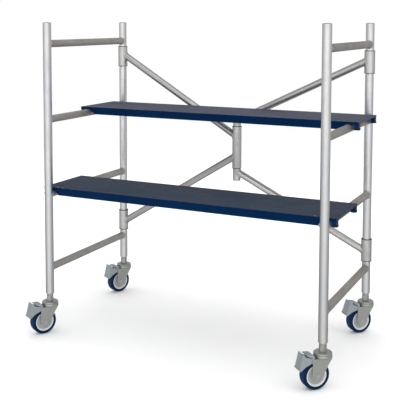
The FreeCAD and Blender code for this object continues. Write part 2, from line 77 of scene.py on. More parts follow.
# ---------------------------------------------------------------------------
# a small helper for building node materials
# ---------------------------------------------------------------------------
class Mat:
    def __init__(self, name):
        self.m = bpy.data.materials.new(name)
        self.m.use_nodes = True
        self.t = self.m.node_tree
        self.t.nodes.clear()
        self.out = self.t.nodes.new("ShaderNodeOutputMaterial")
        self.b = self.t.nodes.new("ShaderNodeBsdfPrincipled")
        self.t.links.new(self.b.outputs["BSDF"], self.out.inputs["Surface"])
        self.tc = self.t.nodes.new("ShaderNodeTexCoord")
        self.obj = self.tc.outputs["Object"]

    def put(self, sock, v):
        if isinstance(v, bpy.types.NodeSocket):
            self.t.links.new(v, sock)
        elif isinstance(v, (tuple, list)) and sock.type == "RGBA" and len(v) == 3:
            sock.default_value = (*v, 1.0)
        else:
            sock.default_value = v

    def set(self, **kw):
        for k, v in kw.items():
            self.put(self.b.inputs[k.replace("_", " ")], v)
        return self

    def math(self, op, a, b=0.0, c=None, clamp=False):
        n = self.t.nodes.new("ShaderNodeMath")
        n.operation = op
        n.use_clamp = clamp
        self.put(n.inputs[0], a)
        if op not in ("ABSOLUTE", "SQRT", "SINE", "COSINE", "FRACT", "FLOOR"):
            self.put(n.inputs[1], b)
        if c is not None:
            self.put(n.inputs[2], c)
        return n.outputs[0]

    def vec(self, op, a, b=None, scale=None):
        n = self.t.nodes.new("ShaderNodeVectorMath")
        n.operation = op
        self.put(n.inputs[0], a)
        if b is not None:
            self.put(n.inputs[1], b)
        if scale is not None:
            self.put(n.inputs["Scale"], scale)
        return n.outputs["Value"] if op in ("LENGTH", "DOT_PRODUCT") else n.outputs["Vector"]

    def rot(self, v, axis, angle, centre=(0, 0, 0)):
        n = self.t.nodes.new("ShaderNodeVectorRotate")
        n.rotation_type = axis
        self.put(n.inputs["Vector"], v)
        n.inputs["Center"].default_value = centre
        n.inputs["Angle"].default_value = angle
        return n.outputs["Vector"]

    def noise(self, v, scale=1.0, detail=3.0, rough=0.55, dist=0.0):
        n = self.t.nodes.new("ShaderNodeTexNoise")
        self.put(n.inputs["Vector"], v)
        n.inputs["Scale"].default_value = scale
        n.inputs["Detail"].default_value = detail
        n.inputs["Roughness"].default_value = rough
        n.inputs["Distortion"].default_value = dist
        return n.outputs["Fac"]

    def voronoi(self, v, scale, feature="F1", rand=1.0, out="Distance"):
        n = self.t.nodes.new("ShaderNodeTexVoronoi")
        n.feature = feature
        self.put(n.inputs["Vector"], v)
        n.inputs["Scale"].default_value = scale
        n.inputs["Randomness"].default_value = rand
        return n.outputs[out]

    def rng(self, v, a, b, c, d, kind="LINEAR"):
        n = self.t.nodes.new("ShaderNodeMapRange")
        n.interpolation_type = kind
        n.clamp = True
        self.put(n.inputs["Value"], v)
        for k, x in zip(("From Min", "From Max", "To Min", "To Max"), (a, b, c, d)):
            self.put(n.inputs[k], x)
        return n.outputs["Result"]

    def mix(self, f, a, b, mode="MIX"):
        n = self.t.nodes.new("ShaderNodeMix")
        n.data_type = "RGBA"
        n.blend_type = mode
        n.clamp_factor = True
        self.put(n.inputs[0], f)
        self.put(n.inputs[6], a)
        self.put(n.inputs[7], b)
        return n.outputs[2]

    def scale_rgb(self, col, f):
        return self.vec("SCALE", col, scale=f)

    def ramp(self, f, stops):
        n = self.t.nodes.new("ShaderNodeValToRGB")
        self.put(n.inputs[0], f)
        el = n.color_ramp.elements
        while len(el) < len(stops):
            el.new(0.5)
        for e, (p, c) in zip(el, stops):
            e.position = p
            e.color = (c, c, c, 1) if isinstance(c, (int, float)) else (*c, 1)
        return n.outputs["Color"]

    def facing(self):
        n = self.t.nodes.new("ShaderNodeLayerWeight")
        n.inputs["Blend"].default_value = 0.5
        return n.outputs["Facing"]

    def edge(self, radius, samples=4):
        """1 on rounded edges, 0 on flats, from how far the rounded normal leaves the true one; it drives both edge wear
        and painted edge highlights.
        """
        n = self.t.nodes.new("ShaderNodeBevel")
        n.samples = samples
        n.inputs["Radius"].default_value = radius
        g = self.t.nodes.new("ShaderNodeNewGeometry")
        d = self.vec("DOT_PRODUCT", n.outputs["Normal"], g.outputs["Normal"])
        return self.rng(d, 0.98, 0.80, 0.0, 1.0)

    def bump(self, h, strength, dist, normal=None):
        n = self.t.nodes.new("ShaderNodeBump")
        n.inputs["Strength"].default_value = strength
        n.inputs["Distance"].default_value = dist
        self.put(n.inputs["Height"], h)
        if normal is not None:
            self.put(n.inputs["Normal"], normal)
        return n.outputs["Normal"]


def lengthways(m, axis, slope=0.0):
    """Object coordinates turned so that the tube's length is local Z."""
    v = m.obj
    if axis == "y":
        v = m.rot(v, "X_AXIS", math.radians(90))
    elif axis == "brace":
        v = m.rot(v, "Y_AXIS", slope)
    return v


def tube_metal(name, base, rough, axis="z", slope=0.0, painted_edge_shade=0.45, warm=0.0, grime=0.0):
    """Drawn aluminium: fine die lines along the tube, soft smudges, short handling scratches, and painted shade that
    darkens the grazing edges.
    """
    m = Mat(name)
    v = lengthways(m, axis, slope)
    die = m.noise(m.vec("MULTIPLY", v, (1500.0, 1500.0, 4.0)), 1.0, 2.0, 0.6)
    band = m.noise(m.vec("MULTIPLY", v, (240.0, 240.0, 1.2)), 1.0, 3.0, 0.6)
    smudge = m.noise(m.vec("MULTIPLY", v, (26.0, 26.0, 11.0)), 1.0, 5.0, 0.62, 0.4)
    cloud = m.noise(m.vec("MULTIPLY", v, (3.0, 3.0, 2.2)), 1.0, 2.0, 0.5)
    # short scratches: thin cell borders, only where a patchy mask lets them through
    cells = m.voronoi(m.vec("MULTIPLY", v, (60.0, 60.0, 22.0)), 1.0, "DISTANCE_TO_EDGE")
    patch = m.noise(m.vec("MULTIPLY", v, (14.0, 14.0, 6.0)), 1.0, 2.0, 0.5)
    scratch = m.math("MULTIPLY", m.rng(cells, 0.0, 0.018, 1.0, 0.0), m.rng(patch, 0.56, 0.66, 0.0, 1.0))
    tone = m.math("ADD", m.rng(band, 0.3, 0.7, -0.035, 0.035), m.rng(smudge, 0.35, 0.75, 0.02, -0.06))
    tone = m.math("ADD", tone, m.rng(cloud, 0.3, 0.7, -0.03, 0.03))
    tone = m.math("ADD", tone, m.rng(die, 0.3, 0.7, -0.02, 0.02))
    tone = m.math("ADD", tone, m.math("MULTIPLY", scratch, -0.06))
    tone = m.math("ADD", tone, 1.0)
    cool = (base[0] * 0.985, base[1], base[2] * 1.02)
    warmc = (base[0] * 1.015, base[1] * 0.998, base[2] * 0.965)
    col = m.mix(m.rng(cloud, 0.35, 0.65, 0.0, 1.0), cool, warmc)
    col = m.scale_rgb(col, tone)
    f = m.facing()
    if grime:
        col = m.mix(m.math("MULTIPLY", m.rng(smudge, 0.5, 0.8, 0.0, 1.0), grime), col, (0.30, 0.285, 0.26))
    # painted shade: the colour darkens towards the grazing edges, standing in for the darker sides of a lit tube
    shade = m.ramp(f, [(0.0, 1.0), (0.20, 0.97), (0.50, 0.86), (0.75, 0.70), (1.0, painted_edge_shade)])
    col = m.mix(1.0, col, shade, "MULTIPLY")
    r = m.math("ADD", m.rng(smudge, 0.3, 0.75, rough - 0.05, rough + 0.09), m.rng(die, 0.3, 0.7, -0.03, 0.03))
    r = m.math("ADD", r, m.math("MULTIPLY", scratch, 0.12))
    h = m.math("ADD", m.math("MULTIPLY", die, 0.4), m.math("MULTIPLY", band, 0.6))
    n = m.bump(h, 0.25, 0.00012)
    n = m.bump(m.math("MULTIPLY", scratch, -1.0), 0.3, 0.00006, n)
    m.set(Base_Color=col, Metallic=1.0, Roughness=r, Normal=n)
    return m.m


def zinc(name, base, rough=0.40, bevel=0.0012, blotch=1.0):
    """Zinc-plated pressed steel: soft spangle, faint yellow-green and pink blotches of the passivation, brighter edges
    painted as highlights, and painted shade at grazing edges.
    """
    m = Mat(name)
    big = m.noise(m.obj, 38.0, 3.0, 0.55, 0.3)
    mid = m.noise(m.obj, 130.0, 4.0, 0.6, 0.6)
    fine = m.noise(m.obj, 900.0, 2.0, 0.6)
    spangle = m.voronoi(m.obj, 210.0, "F1", 1.0, "Color")
    sp = m.vec("DOT_PRODUCT", spangle, (0.33, 0.33, 0.34))
    green = (base[0] * 0.965, base[1] * 1.02, base[2] * 0.955)
    pink = (base[0] * 1.03, base[1] * 0.97, base[2] * 0.99)
    blue = (base[0] * 0.95, base[1] * 0.99, base[2] * 1.05)
    col = m.mix(m.rng(big, 0.4, 0.62, 0.0, blotch), green, pink)
    col = m.mix(m.rng(mid, 0.5, 0.72, 0.0, 0.7 * blotch), col, blue)
    tone = m.math("ADD", m.rng(mid, 0.3, 0.7, 0.94, 1.05), m.rng(sp, 0.2, 0.8, -0.05, 0.05))
    col = m.scale_rgb(col, tone)
    e = m.edge(bevel)
    # painted highlight: every rounded edge is lightened towards pale metal
    col = m.mix(m.math("MULTIPLY", e, 0.45), col, (0.80, 0.80, 0.79))
    pit = m.math("MULTIPLY", m.rng(mid, 0.60, 0.74, 0.0, 1.0), m.rng(fine, 0.5, 0.6, 0.0, 1.0))
    col = m.mix(m.math("MULTIPLY", pit, 0.35), col, (0.30, 0.29, 0.27))
    # painted shade: the colour darkens towards grazing edges
    f = m.facing()
    col = m.mix(1.0, col, m.ramp(f, [(0.0, 1.0), (0.5, 0.95), (0.8, 0.72), (1.0, 0.45)]), "MULTIPLY")
    r = m.math("ADD", m.rng(mid, 0.3, 0.7, rough - 0.05, rough + 0.08), m.math("MULTIPLY", e, -0.08))
    n = m.bump(m.math("ADD", m.math("MULTIPLY", mid, 0.7), m.math("MULTIPLY", fine, 0.3)), 0.35, 0.00018)
    m.set(Base_Color=col, Metallic=0.88, Roughness=r, Normal=n)
    return m.m


def powder_coat(name, base, edge_highlight_colour, rough=0.36, wear=1.0):
    """Navy powder coat: orange peel, faint cloudiness, dust in random patches, chipped edges showing bare aluminium,
    and a painted highlight along every edge.
    """
    m = Mat(name)
    peel = m.noise(m.obj, 620.0, 2.0, 0.5)
    cloud = m.noise(m.obj, 5.0, 3.0, 0.5)
    mid = m.noise(m.obj, 60.0, 4.0, 0.6, 0.3)
    fine = m.noise(m.obj, 420.0, 3.0, 0.65)
    col = m.mix(m.rng(cloud, 0.3, 0.7, 0.0, 1.0), (base[0] * 0.85, base[1] * 0.88, base[2] * 0.88), (base[0] * 1.2, base[1] * 1.12, base[2] * 1.12))
    rub = m.math("MULTIPLY", m.rng(mid, 0.52, 0.70, 0.0, 1.0), 0.25)
    col = m.mix(rub, col, (base[0] * 2.0 + 0.0008, base[1] * 1.4 + 0.003, base[2] * 1.25 + 0.005))
    e = m.edge(0.0011)
    chip = m.math("MULTIPLY", e, m.rng(m.math("ADD", m.math("MULTIPLY", mid, 0.6), m.math("MULTIPLY", fine, 0.5)), 0.58, 0.68, 0.0, 1.0))
    chip = m.math("MULTIPLY", chip, wear)
    # painted highlight: a lighter blue along every rounded edge
    soft = m.math("MULTIPLY", e, 0.30)
    col = m.mix(soft, col, edge_highlight_colour)
    col = m.mix(chip, col, (0.42, 0.43, 0.44))
    cells = m.voronoi(m.vec("MULTIPLY", m.obj, (24.0, 90.0, 90.0)), 1.0, "DISTANCE_TO_EDGE")
    patch = m.noise(m.obj, 9.0, 2.0, 0.5)
    scratch = m.math("MULTIPLY", m.rng(cells, 0.0, 0.015, 1.0, 0.0), m.rng(patch, 0.58, 0.68, 0.0, 0.5))
    col = m.mix(scratch, col, (base[0] * 3 + 0.012, base[1] * 2 + 0.018, base[2] * 1.5 + 0.028))
    r = m.math("ADD", m.rng(mid, 0.3, 0.7, rough - 0.04, rough + 0.10), m.math("MULTIPLY", chip, -0.05))
    n = m.bump(peel, 0.35, 0.0001)
    n = m.bump(m.math("MULTIPLY", m.math("ADD", chip, scratch), -1.0), 0.5, 0.00008, n)
    m.set(Base_Color=col, Metallic=m.math("MULTIPLY", chip, 0.9), Roughness=r, Normal=n, Specular_Tint=(0.06, 0.26, 0.62))
    m.b.inputs["Specular IOR Level"].default_value = 0.24
    return m.m


def deck_face(name, base, light, rough=0.56):
    """Film-faced board: fine anti-slip grit, faint grain along the board, shoe scuffs and dust, and a lighter rim
    painted as an edge highlight.
    """
    m = Mat(name)
    grain = m.noise(m.vec("MULTIPLY", m.obj, (5.0, 60.0, 60.0)), 1.0, 4.0, 0.6, 0.25)
    broad = m.noise(m.vec("MULTIPLY", m.obj, (2.4, 5.0, 5.0)), 1.0, 3.0, 0.55, 0.4)
    mott = m.noise(m.obj, 34.0, 4.0, 0.6, 0.5)
    grit = m.voronoi(m.obj, 520.0, "F1")
    grit2 = m.noise(m.obj, 1100.0, 2.0, 0.6)
    col = m.mix(m.rng(broad, 0.32, 0.68, 0.0, 1.0), base, light)
    purple = (light[0] * 1.05, light[1] * 0.96, light[2] * 1.02)
    col = m.mix(m.rng(mott, 0.45, 0.70, 0.0, 0.55), col, purple)
    tone = m.math("ADD", m.rng(grain, 0.3, 0.7, 0.90, 1.10), m.rng(grit, 0.1, 0.6, 0.05, -0.06))
    col = m.scale_rgb(col, tone)
    # scuffs: soft pale arcs and smears
    sm = m.noise(m.vec("MULTIPLY", m.obj, (9.0, 22.0, 22.0)), 1.0, 5.0, 0.65, 1.4)
    scuff = m.rng(sm, 0.60, 0.76, 0.0, 0.30)
    col = m.mix(scuff, col, (0.17, 0.18, 0.195))
    cells = m.voronoi(m.vec("MULTIPLY", m.obj, (8.0, 26.0, 26.0)), 1.0, "DISTANCE_TO_EDGE")
    patch = m.noise(m.obj, 6.0, 2.0, 0.5)
    line = m.math("MULTIPLY", m.rng(cells, 0.0, 0.010, 1.0, 0.0), m.rng(patch, 0.55, 0.66, 0.0, 0.35))
    col = m.mix(line, col, (0.22, 0.23, 0.25))
    e = m.edge(0.0012)
    # painted highlight: the rounded rim is lightened
    col = m.mix(m.math("MULTIPLY", e, 0.35), col, (0.16, 0.165, 0.175))
    r = m.math("ADD", m.rng(mott, 0.3, 0.7, rough - 0.06, rough + 0.08), m.math("MULTIPLY", scuff, 0.3))
    h = m.math("ADD", m.math("MULTIPLY", m.rng(grit, 0.0, 0.6, 1.0, 0.0), 0.8), m.math("MULTIPLY", grit2, 0.3))
    n = m.bump(h, 0.45, 0.00030)
    n = m.bump(grain, 0.25, 0.0002, n)
    m.set(Base_Color=col, Metallic=0.0, Roughness=r, Normal=n, Specular_Tint=(0.62, 0.74, 1.0))
    m.b.inputs["Specular IOR Level"].default_value = 0.07
    return m.m


def plastic(name, base, rough=0.5, speckle=0.06):
    """Moulded nylon: fine spark-eroded texture, faint flow marks, lighter edges that are partly wear and partly a
    painted highlight.
    """
    m = Mat(name)
    flow = m.noise(m.obj, 45.0, 3.0, 0.55, 1.2)
    fine = m.noise(m.obj, 1500.0, 2.0, 0.6)
    mid = m.noise(m.obj, 210.0, 3.0, 0.6)
    col = m.scale_rgb(m.mix(m.rng(flow, 0.35, 0.65, 0.0, 1.0), (base[0] * 0.93, base[1] * 0.94, base[2] * 0.96), (base[0] * 1.06, base[1] * 1.05, base[2] * 1.03)),
                      m.rng(mid, 0.3, 0.7, 1.0 - speckle, 1.0 + speckle))
    e = m.edge(0.0009)
    # lighter edges: partly wear, partly a painted highlight
    col = m.mix(m.math("MULTIPLY", e, 0.25), col, tuple(min(1.0, c * 1.3 + 0.03) for c in base))
    r = m.rng(mid, 0.3, 0.7, rough - 0.06, rough + 0.08)
    n = m.bump(m.math("ADD", m.math("MULTIPLY", fine, 0.6), m.math("MULTIPLY", mid, 0.5)), 0.3, 0.00012)
    m.set(Base_Color=col, Roughness=r, Normal=n)
    return m.m


def wheel_frame(m, corner):
    """Object coordinates with the wheel's centre at 0 and its axle along local X."""
    j = JOINT[corner + "_wheel_spin"]
    p, a = j["pos_m"], j["axis"]
    v = m.vec("SUBTRACT", m.obj, tuple(p))
    return m.rot(v, "Z_AXIS", -math.atan2(a[1], a[0]))


def tyre_mat(corner):
    """Elastic rubber: mould rings on the wall, dusty scrubbed tread, tiny pits."""
    m = Mat("tyre_" + corner)
    v = wheel_frame(m, corner)
    s = m.t.nodes.new("ShaderNodeSeparateXYZ")
    m.t.links.new(v, s.inputs[0])
    x, y, z = s.outputs
    rad = m.math("SQRT", m.math("ADD", m.math("MULTIPLY", y, y), m.math("MULTIPLY", z, z)))
    ang = m.math("ARCTAN2", z, y)
    ringn = m.noise(m.vec("MULTIPLY", v, (0, 0, 0)), 1.0)
    cmb = m.t.nodes.new("ShaderNodeCombineXYZ")
    m.put(cmb.inputs[0], m.math("MULTIPLY", rad, 900.0))
    m.put(cmb.inputs[1], m.math("MULTIPLY", ang, 3.0))
    m.put(cmb.inputs[2], m.math("MULTIPLY", x, 900.0))
    ringn = m.noise(cmb.outputs[0], 0.6, 3.0, 0.6)
    mid = m.noise(v, 70.0, 4.0, 0.6, 0.4)
    fine = m.noise(v, 900.0, 3.0, 0.65)
    base, light = (0.0012, 0.0082, 0.028), (0.0022, 0.0150, 0.050)
    col = m.mix(m.rng(mid, 0.35, 0.68, 0.0, 1.0), base, light)
    col = m.scale_rgb(col, m.rng(ringn, 0.3, 0.7, 0.86, 1.16))
    tread = m.rng(rad, 0.0735, 0.0757, 0.0, 1.0)
    col = m.mix(m.math("MULTIPLY", m.rng(rad, 0.0700, 0.0752, 0.0, 1.0, "SMOOTHSTEP"), 0.85), col, m.mix(m.rng(mid, 0.40, 0.66, 0.0, 1.0), (0.0012, 0.0150, 0.060), (0.0015, 0.0330, 0.125)))
    dust = m.math("MULTIPLY", tread, m.rng(m.math("ADD", m.math("MULTIPLY", mid, 0.7), m.math("MULTIPLY", fine, 0.3)), 0.42, 0.62, 0.15, 0.75))
    col = m.mix(m.math("MULTIPLY", dust, 0.42), col, (0.012, 0.050, 0.115))
    r = m.math("ADD", m.rng(mid, 0.3, 0.7, 0.46, 0.60), m.math("MULTIPLY", dust, 0.25))
    n = m.bump(m.math("ADD", m.math("MULTIPLY", ringn, 0.8), m.math("MULTIPLY", fine, 0.35)), 0.35, 0.0002)
    m.set(Base_Color=col, Roughness=r, Normal=n, Specular_Tint=(0.16, 0.42, 0.90))
    m.b.inputs["Specular IOR Level"].default_value = 0.40
    return m.m


def core_mat(corner):
    """Moulded nylon rim: a pale lip and a darker dished face, painted as light and shade on the one nylon, a colour
    that darkens towards the hub, and turning marks.
    """
    m = Mat("core_" + corner)
    v = wheel_frame(m, corner)
    s = m.t.nodes.new("ShaderNodeSeparateXYZ")
    m.t.links.new(v, s.inputs[0])
    x, y, z = s.outputs
    rad = m.math("SQRT", m.math("ADD", m.math("MULTIPLY", y, y), m.math("MULTIPLY", z, z)))
    cmb = m.t.nodes.new("ShaderNodeCombineXYZ")
    m.put(cmb.inputs[0], m.math("MULTIPLY", rad, 1100.0))
    m.put(cmb.inputs[1], m.math("MULTIPLY", m.math("ARCTAN2", z, y), 1.5))
    ringn = m.noise(cmb.outputs[0], 0.8, 2.0, 0.6)
    mid = m.noise(v, 90.0, 4.0, 0.6, 0.5)
    fine = m.noise(v, 1200.0, 2.0, 0.6)
    # painted light and shade: the lip is painted pale and the dished face darker, though both are the same nylon
    face, lip = (0.37, 0.385, 0.385), (0.70, 0.74, 0.755)
    k = m.rng(rad, 0.0470, 0.0500, 0.0, 1.0, "SMOOTHSTEP")
    col = m.mix(k, face, lip)
    stain = m.mix(m.rng(mid, 0.4, 0.7, 0.0, 1.0), (1.0, 1.0, 1.0), (0.93, 0.915, 0.88))
    col = m.mix(1.0, col, stain, "MULTIPLY")
    col = m.scale_rgb(col, m.rng(ringn, 0.3, 0.7, 0.95, 1.05))
    # darker towards the hub
    darker_to_hub = m.rng(rad, 0.016, 0.030, 0.75, 1.0, "SMOOTHSTEP")
    col = m.scale_rgb(col, darker_to_hub)
    n = m.bump(m.math("ADD", m.math("MULTIPLY", ringn, 0.6), m.math("MULTIPLY", fine, 0.4)), 0.3, 0.00012)
    m.set(Base_Color=col, Roughness=m.rng(mid, 0.3, 0.7, 0.36, 0.52), Normal=n)
    m.b.inputs["Specular IOR Level"].default_value = 0.5
    return m.m


def weld_mat(name):
    """Aluminium weld bead: bright frozen ripples, faint straw and smoky heat tint in the valleys."""
    m = Mat(name)
    mid = m.noise(m.obj, 260.0, 4.0, 0.6, 0.4)
    fine = m.noise(m.obj, 1400.0, 2.0, 0.6)
    col = m.mix(m.rng(mid, 0.38, 0.66, 0.0, 1.0), (0.62, 0.62, 0.62), (0.80, 0.795, 0.78))
    col = m.mix(m.rng(fine, 0.56, 0.72, 0.0, 0.35), col, (0.33, 0.32, 0.30))
    # painted shade: the bead darkens towards grazing edges
    col = m.mix(1.0, col, m.ramp(m.facing(), [(0.0, 1.0), (0.6, 0.9), (1.0, 0.5)]), "MULTIPLY")
    n = m.bump(m.math("ADD", mid, m.math("MULTIPLY", fine, 0.4)), 0.4, 0.0002)
    m.set(Base_Color=col, Metallic=1.0, Roughness=m.rng(mid, 0.3, 0.7, 0.34, 0.52), Normal=n)
    return m.m


def rubber(name, base):
    m = Mat(name)
    mid = m.noise(m.obj, 160.0, 4.0, 0.6)
    fine = m.noise(m.obj, 1300.0, 2.0, 0.6)
    col = m.mix(m.rng(mid, 0.4, 0.7, 0.0, 1.0), base, tuple(c * 1.9 + 0.004 for c in base))
    e = m.edge(0.0010)
    # lighter edges: partly wear, partly a painted highlight
    col = m.mix(m.math("MULTIPLY", e, 0.3), col, tuple(c * 3 + 0.02 for c in base))
    n = m.bump(m.math("ADD", mid, m.math("MULTIPLY", fine, 0.5)), 0.35, 0.00018)
    m.set(Base_Color=col, Roughness=m.rng(mid, 0.3, 0.7, 0.55, 0.72), Normal=n)
    m.b.inputs["Specular IOR Level"].default_value = 0.35
    return m.m


# ---------------------------------------------------------------------------
# materials on the CAD nodes
# ---------------------------------------------------------------------------
ALU = (0.790, 0.795, 0.805)
UPRIGHT = tube_metal("upright_aluminium", ALU, 0.33, "z")
SLEEVE = tube_metal("sleeve_aluminium", (0.70, 0.70, 0.70), 0.38, "z", painted_edge_shade=0.38, grime=0.25)
CENTRE = tube_metal("centre_aluminium", (0.72, 0.72, 0.715), 0.37, "z", painted_edge_shade=0.38, grime=0.15)
RUNG = tube_metal("rung_aluminium", (0.700, 0.672, 0.635), 0.46, "y", painted_edge_shade=0.62, grime=0.35)
NAVY = powder_coat("navy_powder_coat", (0.0007, 0.0135, 0.055), (0.012, 0.050, 0.13))
NAVY_CAST = powder_coat("navy_cast_hook", (0.0030, 0.0240, 0.085), (0.03, 0.075, 0.17), 0.42, 1.3)
# one board finish in two tones: the upper deck lighter as painted sheen, the lower deck darker as painted shade
PANEL = {"upper": deck_face("upper_deck_board_lit_sheen", (0.054, 0.063, 0.099), (0.071, 0.076, 0.110)),
         "lower": deck_face("lower_deck_board_shaded", (0.027, 0.041, 0.070), (0.038, 0.050, 0.080))}
CAPS = plastic("grey_cap", (0.135, 0.140, 0.150), 0.48)
BUSH = plastic("black_bush", (0.040, 0.040, 0.043), 0.45)
RIVET = zinc("rivet_steel", (0.55, 0.55, 0.55), 0.38, 0.0006, 0.4)
ZINC = zinc("caster_zinc", (0.500, 0.515, 0.498), 0.40)
BOLT = zinc("bolt_zinc", (0.60, 0.60, 0.575), 0.34, 0.0008, 0.7)
PEDAL = zinc("pedal_zinc", (0.510, 0.548, 0.590), 0.44, 0.0012, 0.6)
PAD = rubber("hook_foot", (0.006, 0.006, 0.008))
WELD = weld_mat("weld_bead")


def brace_mat(node):
    x, zp, zm, _ = BRACES[node]
    slope = math.atan2(x - CENTRE_X, zp - zm)
    # painted light and shade: one aluminium, lighter on the right lower brace and darker on the other three
    tone = {"right_lower_brace": 0.76, "right_upper_brace": 0.60, "left_lower_brace": 0.58, "left_upper_brace": 0.58}[node]
    return tube_metal(node + "_aluminium", (tone, tone * 0.995, tone * 0.985), 0.38, "brace", -slope, painted_edge_shade=0.42, grime=0.1)


def use(node, mat):
    o = NODES[node]
    o.data.materials.clear()
    o.data.materials.append(mat)


for n in NODES:
    if n.endswith("_upright"):
        use(n, UPRIGHT)
    elif n.endswith("_rungs"):
        use(n, RUNG)
    elif n.endswith("_brace"):
        use(n, brace_mat(n))
    elif n.endswith("_post_sleeves") or n == "centre_sleeve":
        use(n, SLEEVE)
    elif n == "centre_tube":
        use(n, CENTRE)
    elif n.endswith("_bushes"):
        use(n, BUSH)
    elif n.endswith("_caps") or n.endswith("_plugs"):
        use(n, CAPS)
    elif n.endswith("_rivets") or n.endswith("_rivet"):
        use(n, RIVET)
    elif n.endswith("_panel"):
        use(n, PANEL[n.split("_")[0]])
    elif n.endswith("_side_rails") or n.endswith("_cross_members"):
        use(n, NAVY)
    elif n.endswith("_hooks"):
        use(n, NAVY_CAST)
    elif n.endswith("_hook_pads"):
        use(n, PAD)
    elif n.endswith("_stem") or n.endswith("_fork"):
        use(n, ZINC)
    elif n.endswith("_bolts"):
        use(n, BOLT)
    elif n.endswith("_wheel_core"):
        use(n, core_mat(n[:-len("_wheel_core")]))
    elif n.endswith("_tyre"):
        use(n, tyre_mat(n[:-len("_tyre")]))
    elif n.endswith("_brake_pedal"):
        use(n, PEDAL)
    else:
        raise SystemExit("no material for " + n)


# ---------------------------------------------------------------------------
# mesh helpers
# ---------------------------------------------------------------------------
def link_mesh(name, bm, mat, body, smooth=True):
    me = bpy.data.meshes.new(name)
    bm.normal_update()
    bm.to_mesh(me)
    bm.free()
    for p in me.polygons:
        p.use_smooth = smooth
    o = bpy.data.objects.new(name, me)
    scene.collection.objects.link(o)
    me.materials.append(mat)
    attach(o, body)
    return o


def closed_sweep(bm, centres, frames, section, ring_scale):
    """A closed bead: section points (a, b) in the plane of each frame (n1, n2), scaled by ring_scale at each centre."""
    n, k = len(centres), len(section)
    rings = []
    for i in range(n):
        c, (n1, n2) = centres[i], frames[i]
        s = ring_scale[i]
        rings.append([bm.verts.new(c + n1 * (a * s) + n2 * (b * s)) for a, b in section])
    for i in range(n):
        r0, r1 = rings[i], rings[(i + 1) % n]
        for j in range(k):
            bm.faces.new((r0[j], r0[(j + 1) % k], r1[(j + 1) % k], r1[j]))


def weld_ring(bm, a2, d2, r2, a1, d1, r1, leg, ripples, seed, steps=150, section_n=10):
    """Fillet bead where a branch tube (point a2, direction d2 away from the main tube, radius r2) meets a main tube (a1, d1, r1)."""
    rnd = random.Random(seed)
    d2, d1 = d2.normalized(), d1.normalized()
    e1 = d2.cross(d1)
    e1.normalize()
    e2 = e1.cross(d2)
    e2.normalize()
    pts, frs, sc = [], [], []
    ph = rnd.random() * 6.28
    for i in range(steps):
        f = 2 * math.pi * i / steps
        q = a2 + (e1 * math.cos(f) + e2 * math.sin(f)) * r2
        # distance from the main axis equals r1 along q + s d2
        w = q - a1
        w = w - d1 * w.dot(d1)
        u = d2 - d1 * d2.dot(d1)
        A, B, C = u.dot(u), 2 * w.dot(u), w.dot(w) - r1 * r1
        disc = max(B * B - 4 * A * C, 0.0)
        s = (-B + math.sqrt(disc)) / (2 * A)
        p = q + d2 * s
        n2 = (e1 * math.cos(f) + e2 * math.sin(f)).normalized()
        n1 = p - a1
        n1 = (n1 - d1 * n1.dot(d1)).normalized()
        pts.append(p)
        # an orthogonal pair in the plane of n1 and n2
        t = n1.cross(n2)
        t.normalize()
        bis = (n1 + n2).normalized()
        side = t.cross(bis).normalized()
        frs.append((bis, side))
        sc.append(1.0 + 0.10 * math.sin(3 * f + ph) * rnd.uniform(0.6, 1.0))
    # arc lengths make the ripples even
    per = [0.0]
    for i in range(steps):
        per.append(per[-1] + (pts[(i + 1) % steps] - pts[i]).length)
    total = per[-1]
    count = max(8, int(total / ripples))
    for i in range(steps):
        ph2 = (per[i] / total * count) % 1.0
        saw = 1.0 - ph2 if ph2 > 0.25 else ph2 * 3.0
        sc[i] *= 1.0 + 0.16 * (saw - 0.5)
    # crowned fillet: flat-bottomed oval pressed into both walls
    sect = []
    for j in range(section_n):
        g = 2 * math.pi * j / section_n
        a, b = math.cos(g), math.sin(g)
        sect.append((leg * (0.42 * a + 0.10), leg * 0.86 * b))
    closed_sweep(bm, pts, frs, sect, sc)


def end_frame_welds(side, x):
    bm = bmesh.new()
    k = 0
    for z in RUNG_Z:
        for y, s in ((FRONT_Y, 1), (REAR_Y, -1)):
            weld_ring(bm, Vector((x, y, z)), Vector((0, s, 0)), RUNG_R, Vector((x, y, z)), Vector((0, 0, 1)), UPRIGHT_R,
                      0.0058, 0.0032, 11 + k + (100 if side == "left" else 0))
            k += 1
    bmesh.ops.recalc_face_normals(bm, faces=bm.faces)
    return link_mesh(side + "_frame_welds", bm, WELD, side + "_frame")


def gate_welds(side):
    bm = bmesh.new()
    k = 0
    for node in (side + "_lower_brace", side + "_upper_brace"):
        x, zp, zm, rc = BRACES[node]
        post, mid = Vector((x, REAR_Y, zp)), Vector((CENTRE_X, REAR_Y, zm))
        d = (mid - post).normalized()
        weld_ring(bm, post, d, BRACE_R, post, Vector((0, 0, 1)), SLEEVE_R, 0.0075, 0.0034, 301 + k, 190)
        weld_ring(bm, mid, -d, BRACE_R, mid, Vector((0, 0, 1)), rc, 0.0075, 0.0034, 401 + k, 190)
        k += 1
    bmesh.ops.recalc_face_normals(bm, faces=bm.faces)
    return link_mesh(side + "_gate_welds", bm, WELD, side + "_gate")


end_frame_welds("right", RIGHT_X)
end_frame_welds("left", LEFT_X)
gate_welds("right")
gate_welds("left")


